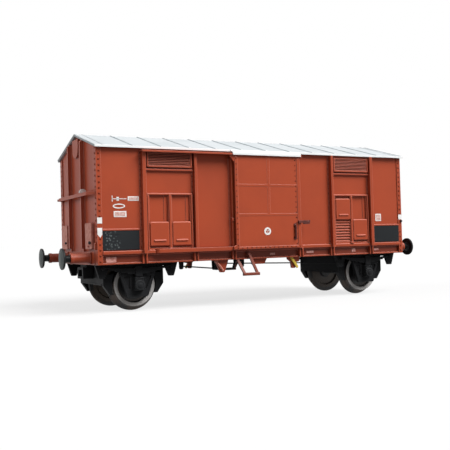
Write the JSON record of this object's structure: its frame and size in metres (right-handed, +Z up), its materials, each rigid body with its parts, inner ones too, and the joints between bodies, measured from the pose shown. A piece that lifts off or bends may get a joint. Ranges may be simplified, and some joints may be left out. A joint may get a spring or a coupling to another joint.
{
  "type": "model railway boxcar",
  "caption": "Short covered goods wagon for a model railway, with sliding side doors, shuttered ventilation hatches, a gabled roof, buffers and free-turning wheelsets.",
  "frame": {"origin": "middle of the wagon's bounding box, at the foot of the wheel flanges", "axes": "+X along the wagon, to the right when facing the near side; +Y across it, from the near side to the far side; +Z up"},
  "size_m": [0.105, 0.036, 0.0439],
  "materials": {
    "body_red": "satin brown-red moulded plastic, lightly mottled",
    "roof_grey": "matt pale blue-grey",
    "frame_black": "satin black moulded plastic",
    "buffer_dark": "satin dark green-grey",
    "board_black": "matt charcoal",
    "mark_white": "matt white",
    "lever_yellow": "matt yellow",
    "weight_steel": "bare steel strip",
    "wheel_steel": "dull turned metal, dark centres"
  },
  "bodies": {
    "wagon": {"axle_boxes": "frame_black", "axle_guards": "frame_black", "ballast_weight": "weight_steel", "brake_rigging": "frame_black", "brake_shoes": "frame_black", "buffer_beam_left": "body_red", "buffer_beam_right": "body_red", "buffer_heads": "buffer_dark", "buffer_sleeves": "body_red", "corner_posts": "body_red", "coupler_pockets": "frame_black", "door_canopies": "roof_grey", "door_guides": "body_red", "door_rails": "body_red", "door_steps": "body_red", "end_discs": "mark_white", "end_plates": "body_red", "end_rails": "body_red", "end_wall_left": "body_red", "end_wall_right": "body_red", "floor": "body_red", "gable_plates": "body_red", "hatch_louvres": "body_red", "leaf_springs": "frame_black", "release_levers": "lever_yellow", "roof": "roof_grey", "shaft_brackets": "body_red", "shutters": "body_red", "side_boards": "board_black", "side_boxes": "body_red", "side_far_left": "body_red", "side_far_right": "body_red", "side_near_left": "body_red", "side_near_right": "body_red", "sole_bar_far": "body_red", "sole_bar_near": "body_red", "spring_hangers": "frame_black", "underframe": "frame_black", "ventilators": "body_red"},
    "wheelset_left": {"axle_left": "wheel_steel", "wheel_left_near": "wheel_steel", "wheel_left_far": "wheel_steel"},
    "wheelset_right": {"axle_right": "wheel_steel", "wheel_right_near": "wheel_steel", "wheel_right_far": "wheel_steel"},
    "door_near": {"door_near_leaf": "body_red", "door_near_fittings": "body_red"},
    "door_far": {"door_far_leaf": "body_red", "door_far_fittings": "body_red"}
  },
  "joints": [
    {"name": "wheelset_left_spin", "type": "hinge", "parent": "wagon", "child": "wheelset_left", "pos_m": [-0.0345, 0, 0.0063], "axis": [0, 1, 0], "continuous": true},
    {"name": "wheelset_right_spin", "type": "hinge", "parent": "wagon", "child": "wheelset_right", "pos_m": [0.0345, 0, 0.0063], "axis": [0, 1, 0], "continuous": true},
    {"name": "door_near_slide", "type": "slide", "parent": "wagon", "child": "door_near", "axis": [-1, 0, 0], "range_m": [0, 0.0193]},
    {"name": "door_far_slide", "type": "slide", "parent": "wagon", "child": "door_far", "axis": [1, 0, 0], "range_m": [0, 0.0193]}
  ]
}
